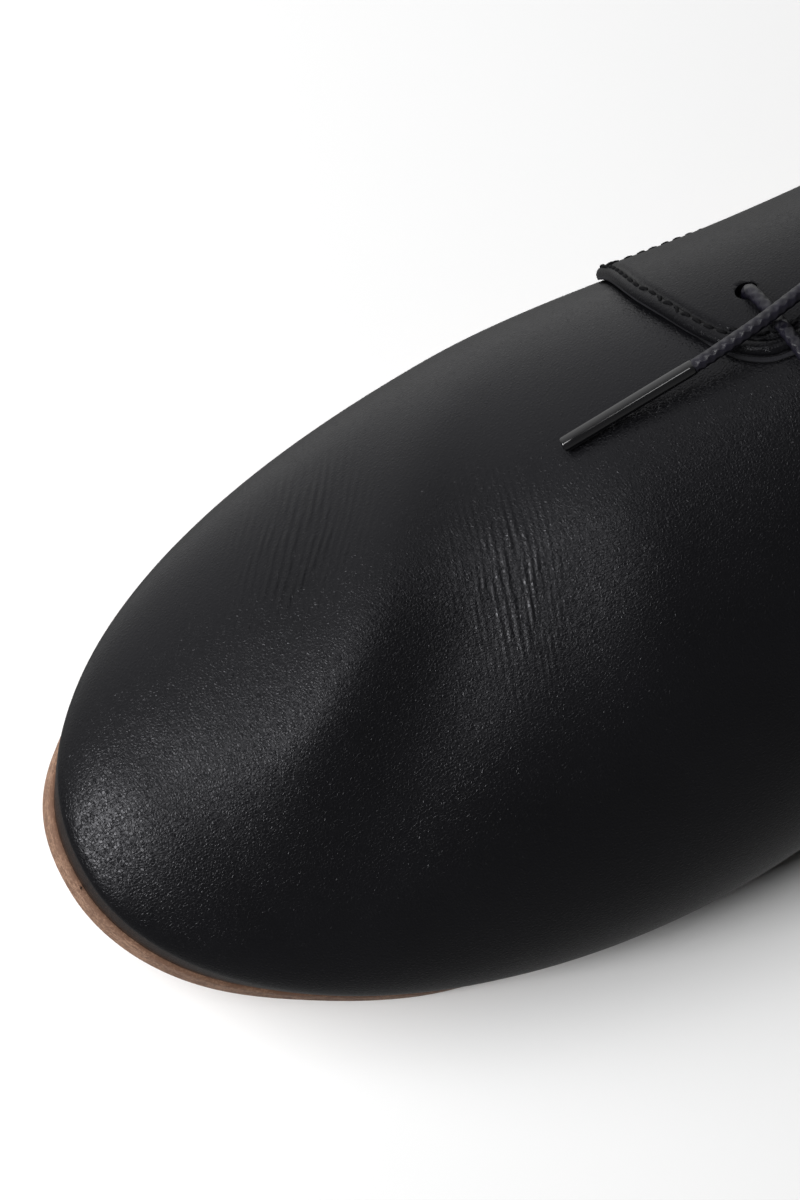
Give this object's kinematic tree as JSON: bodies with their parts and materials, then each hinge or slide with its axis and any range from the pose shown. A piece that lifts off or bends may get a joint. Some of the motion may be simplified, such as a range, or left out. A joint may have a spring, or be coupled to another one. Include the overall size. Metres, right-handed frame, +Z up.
{
  "type": "derby dance shoe",
  "caption": "Low black leather derby dance shoe for the left foot with open lacing, rounded toe, thin tan leather sole and plain low heel; stands empty on its sole.",
  "frame": {"origin": "centre of the shoe's box, on the floor", "axes": "+X from heel to toe, +Y to the wearer's left, +Z up"},
  "size_m": [0.2834, 0.0932, 0.0872],
  "materials": {
    "upper_leather": "satin pebbled grain",
    "sole_leather": "raw trimmed edge",
    "lining": "matte",
    "lace": "waxed braid",
    "aglet": "gloss"
  },
  "bodies": {
    "root": {"outsole": "sole_leather", "heel": "sole_leather", "insole": "lining", "upper": "upper_leather", "quarter_medial": "upper_leather", "quarter_lateral": "upper_leather", "tongue": "upper_leather", "lace_bar_1": "lace", "lace_bar_2": "lace", "lace_end": "lace", "aglet": "aglet"}
  },
  "joints": []
}
